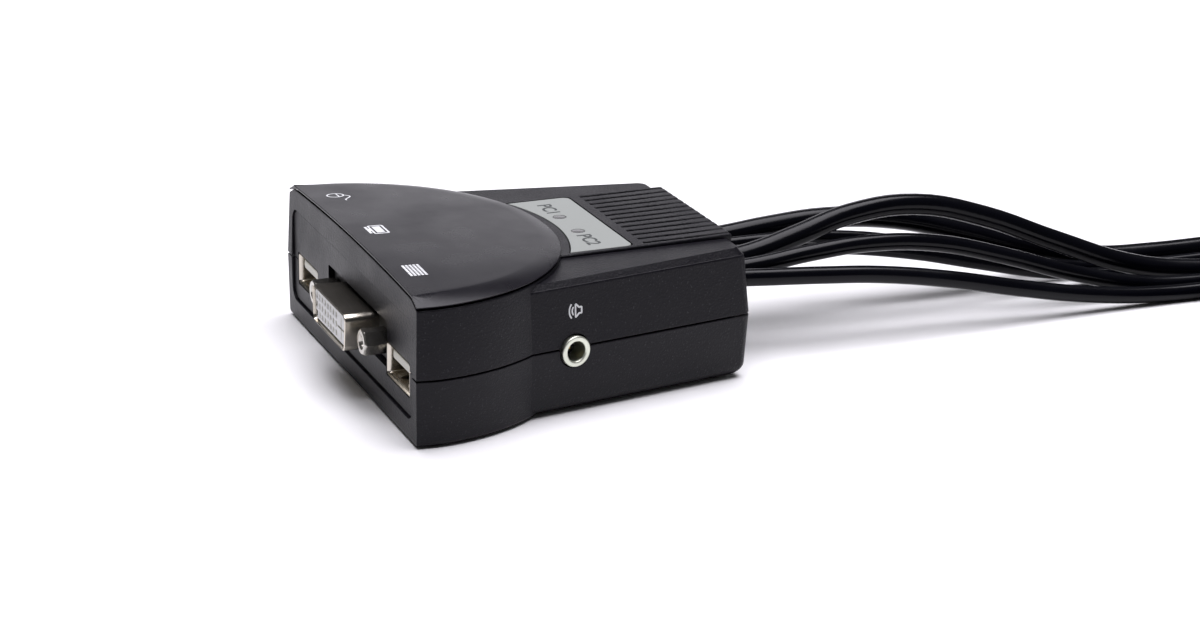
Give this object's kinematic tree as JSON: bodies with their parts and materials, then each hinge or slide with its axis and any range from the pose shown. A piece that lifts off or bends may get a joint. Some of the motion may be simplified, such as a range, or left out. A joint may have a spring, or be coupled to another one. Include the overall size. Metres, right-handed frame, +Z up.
{
  "type": "kvm switch",
  "caption": "Small desktop switch box with a half-round pressed cap, sockets on the front and one side, and fixed leads with plugs that run out of the back.",
  "frame": {"origin": "on the table under the middle of the case, halfway between the tip of the video socket and the ends of the lead collars", "axes": "+X to the right as seen from the sockets, +Y back towards the leads, +Z up"},
  "size_m": [0.1078, 0.3867, 0.0392],
  "materials": {
    "case_plastic": "fine textured dark grey moulding",
    "cap_plastic": "smooth satin dark grey moulding with pale printed pictograms",
    "label": "pale greenish white printed plate",
    "lens": "milky clear light pipe",
    "board": "green lacquered board",
    "chip": "black moulded package",
    "plunger": "black moulding",
    "nickel": "plated sheet steel",
    "insert": "off-white moulded contact block",
    "steel": "plated steel",
    "rubber": "matt black rubber",
    "jacket": "satin black cable jacket",
    "hood": "black moulded hood"
  },
  "bodies": {
    "case": {"lower_shell": "case_plastic", "upper_shell": "case_plastic", "label_plate": "label", "circuit_board": "board", "video_switch_chip": "chip", "usb_switch_chip": "chip", "selector_switch": "chip", "indicator_led_1": "lens", "light_pipe_1": "lens", "indicator_led_2": "lens", "light_pipe_2": "lens", "usb_shell_left": "nickel", "usb_tongue_left": "insert", "usb_shell_right": "nickel", "usb_tongue_right": "insert", "dvi_shell": "nickel", "dvi_insert": "insert", "jackscrew_left": "steel", "jackscrew_right": "steel", "audio_ring": "nickel", "audio_body": "chip", "case_screw_1": "steel", "case_screw_2": "steel", "case_screw_3": "steel", "case_screw_4": "steel", "foot_pad_1": "rubber", "foot_pad_2": "rubber", "foot_pad_3": "rubber", "foot_pad_4": "rubber", "cable_grommet": "rubber", "dvi_lead_1": "jacket", "dvi_coil_1": "jacket", "dvi_plug_1_hood": "hood", "dvi_plug_1_shell": "nickel", "audio_lead_1": "jacket", "audio_coil_1": "jacket", "audio_plug_1_hood": "hood", "audio_plug_1_pin": "steel", "audio_lead_2": "jacket", "audio_coil_2": "jacket", "audio_plug_2_hood": "hood", "audio_plug_2_pin": "steel", "dvi_lead_2": "jacket", "dvi_coil_2": "jacket", "dvi_plug_2_hood": "hood", "dvi_plug_2_shell": "nickel", "usb_lead_1": "jacket", "usb_coil_1": "jacket", "usb_plug_1_hood": "hood", "usb_plug_1_shell": "nickel", "usb_lead_2": "jacket", "usb_coil_2": "jacket", "usb_plug_2_hood": "hood", "usb_plug_2_shell": "nickel"},
    "cap": {"selector_cap": "cap_plastic"},
    "plunger": {"switch_plunger": "plunger"},
    "dvi_plug_1_thumbscrew_1": {"dvi_plug_1_thumbscrew_1": "steel"},
    "dvi_plug_1_thumbscrew_2": {"dvi_plug_1_thumbscrew_2": "steel"},
    "dvi_plug_2_thumbscrew_1": {"dvi_plug_2_thumbscrew_1": "steel"},
    "dvi_plug_2_thumbscrew_2": {"dvi_plug_2_thumbscrew_2": "steel"}
  },
  "joints": [
    {"name": "cap_press", "type": "slide", "parent": "case", "child": "cap", "axis": [0, 0, -1], "range_m": [0, 0.00035], "stiffness_N_per_m": 1000, "springref_m": -0.0005},
    {"name": "plunger_press", "type": "slide", "parent": "case", "child": "plunger", "axis": [0, 0, -1], "range_m": [0, 0.00035]},
    {"name": "dvi_plug_1_thumbscrew_1_turn", "type": "hinge", "parent": "case", "child": "dvi_plug_1_thumbscrew_1", "pos_m": [-0.05, 0.243, 0.0318], "axis": [0, 1, 0], "continuous": true},
    {"name": "dvi_plug_1_thumbscrew_2_turn", "type": "hinge", "parent": "case", "child": "dvi_plug_1_thumbscrew_2", "pos_m": [-0.017, 0.243, 0.0318], "axis": [0, 1, 0], "continuous": true},
    {"name": "dvi_plug_2_thumbscrew_1_turn", "type": "hinge", "parent": "case", "child": "dvi_plug_2_thumbscrew_1", "pos_m": [0.0034, 0.3175, 0.0318], "axis": [0, 1, 0], "continuous": true},
    {"name": "dvi_plug_2_thumbscrew_2_turn", "type": "hinge", "parent": "case", "child": "dvi_plug_2_thumbscrew_2", "pos_m": [0.0364, 0.3175, 0.0318], "axis": [0, 1, 0], "continuous": true}
  ],
  "couplings": [
    {"joint": "plunger_press", "follows": "cap_press", "ratio": 1}
  ]
}
